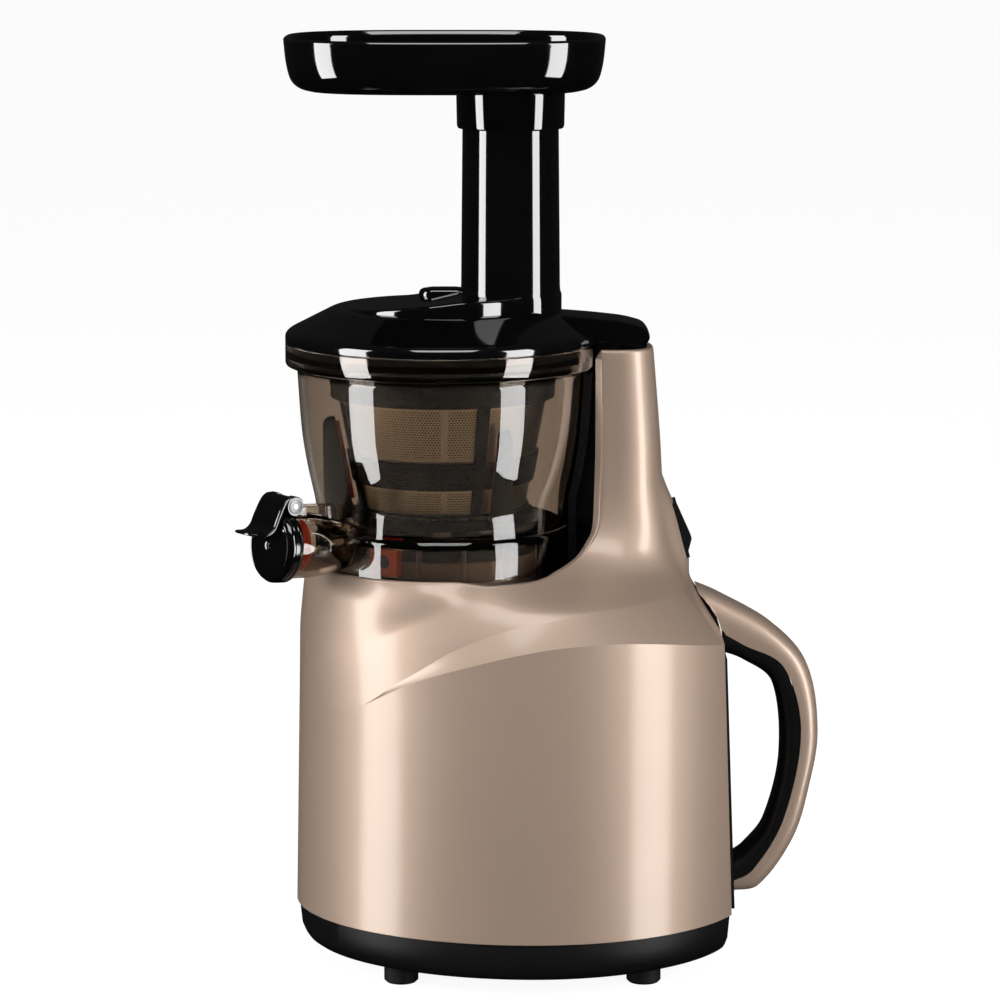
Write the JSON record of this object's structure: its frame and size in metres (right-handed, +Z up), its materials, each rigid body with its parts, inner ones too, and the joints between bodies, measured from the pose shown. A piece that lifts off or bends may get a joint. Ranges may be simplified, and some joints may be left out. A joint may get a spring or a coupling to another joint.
{
  "type": "cold press juicer",
  "caption": "Slow screw juicer: motor base with tower and jug handle, clear bowl with strainer, capped juice spout, lid with feed tube and loading tray.",
  "frame": {"origin": "middle of the footprint, on the plane the feet stand on", "axes": "+Z up, -Y towards the juice spout, +Y towards the handle, +X to the right seen from the front"},
  "size_m": [0.168, 0.256, 0.409],
  "materials": {
    "champagne": "satin metallic lacquer",
    "gloss_black": "high gloss moulding",
    "satin_black": "fine satin moulding",
    "smoke_clear": "clear brown-tinted moulding",
    "silicone": "smooth orange-red silicone",
    "foot_rubber": "matt rubber",
    "steel": "turned and brushed",
    "mesh_steel": "perforated sheet, warm tone",
    "nylon": "cut nylon",
    "die_cast": "as cast",
    "bronze": "sintered bronze",
    "laminations": "varnished windings and sheets",
    "laminate": "circuit board"
  },
  "bodies": {
    "base": {"housing": "champagne", "cradle": "gloss_black", "base_cover": "gloss_black", "feet": "foot_rubber", "rear_panel": "satin_black", "cord_bush": "satin_black", "handle_shell": "champagne", "handle_grip": "satin_black", "handle_screws": "steel", "switch_bezel": "satin_black", "gearbox_case": "die_cast", "gearbox_cover": "die_cast", "case_screws": "steel", "output_bearing": "bronze", "mid_bushes": "bronze", "shaft_seal": "foot_rubber", "motor_case": "steel", "motor_brackets": "steel", "motor_bearings": "steel", "stator": "laminations", "motor_mount": "foot_rubber", "control_board": "laminate", "interlock": "satin_black"},
    "rocker": {"switch_rocker": "satin_black"},
    "rotor_group": {"rotor": "laminations", "motor_pinion": "steel", "fan": "satin_black"},
    "layshaft_group": {"first_wheel": "nylon", "mid_shaft": "steel"},
    "output_group": {"second_wheel": "nylon", "drive_shaft": "steel"},
    "bowl_group": {"bowl": "smoke_clear", "juice_spout": "smoke_clear", "pulp_spout": "smoke_clear", "hinge_pin": "steel", "pulp_plug": "silicone", "plug_peg": "foot_rubber", "bowl_gasket": "foot_rubber", "idler_pegs": "steel", "strainer_mesh": "mesh_steel", "strainer_frame": "satin_black"},
    "screw_group": {"auger": "satin_black"},
    "idler_one": {"idler_a": "nylon"},
    "idler_two": {"idler_b": "nylon"},
    "brush_group": {"brush_cage": "satin_black", "wipers": "silicone"},
    "cap_group": {"juice_cap": "gloss_black", "cap_seal": "silicone"},
    "lid_group": {"lid": "gloss_black", "lid_bush": "nylon", "lid_seal": "foot_rubber"},
    "hopper_group": {"tray": "gloss_black"}
  },
  "joints": [
    {"name": "switch_tilt", "type": "hinge", "parent": "base", "child": "rocker", "pos_m": [0, 0.06488, 0.19287], "axis": [-1, 0, 0], "range_deg": [0, 11]},
    {"name": "motor_spin", "type": "hinge", "parent": "base", "child": "rotor_group", "pos_m": [0, -0.02792, 0.06], "axis": [0, 0, 1], "continuous": true},
    {"name": "layshaft_spin", "type": "hinge", "parent": "base", "child": "layshaft_group", "pos_m": [0, 0.00808, 0.125], "axis": [0, 0, 1], "continuous": true},
    {"name": "output_spin", "type": "hinge", "parent": "base", "child": "output_group", "pos_m": [0, -0.04067, 0.14], "axis": [0, 0, 1], "continuous": true},
    {"name": "bowl_lift", "type": "slide", "parent": "base", "child": "bowl_group", "axis": [0, 0, 1], "range_m": [0, 0.06]},
    {"name": "screw_spin", "type": "hinge", "parent": "bowl_group", "child": "screw_group", "pos_m": [0, -0.04067, 0.2], "axis": [0, 0, 1], "continuous": true},
    {"name": "idler_one_spin", "type": "hinge", "parent": "bowl_group", "child": "idler_one", "pos_m": [0.0225, -0.04067, 0.2], "axis": [0, 0, 1], "continuous": true},
    {"name": "idler_two_spin", "type": "hinge", "parent": "bowl_group", "child": "idler_two", "pos_m": [-0.0225, -0.04067, 0.2], "axis": [0, 0, 1], "continuous": true},
    {"name": "brush_spin", "type": "hinge", "parent": "bowl_group", "child": "brush_group", "pos_m": [0, -0.04067, 0.2], "axis": [0, 0, 1], "continuous": true},
    {"name": "cap_swing", "type": "hinge", "parent": "bowl_group", "child": "cap_group", "pos_m": [0.05091, -0.10824, 0.2118], "axis": [-0.7986, -0.6018, 0], "range_deg": [0, 100]},
    {"name": "lid_turn", "type": "hinge", "parent": "bowl_group", "child": "lid_group", "pos_m": [0, -0.04067, 0.276], "axis": [0, 0, 1], "range_deg": [0, 30]},
    {"name": "tray_lift", "type": "slide", "parent": "lid_group", "child": "hopper_group", "axis": [0, 0, 1], "range_m": [0, 0.03]}
  ],
  "couplings": [
    {"joint": "layshaft_spin", "follows": "motor_spin", "ratio": -0.33333},
    {"joint": "output_spin", "follows": "motor_spin", "ratio": 0.1},
    {"joint": "screw_spin", "follows": "motor_spin", "ratio": 0.1},
    {"joint": "idler_one_spin", "follows": "motor_spin", "ratio": -0.11429},
    {"joint": "idler_two_spin", "follows": "motor_spin", "ratio": -0.11429},
    {"joint": "brush_spin", "follows": "motor_spin", "ratio": -0.036364}
  ]
}
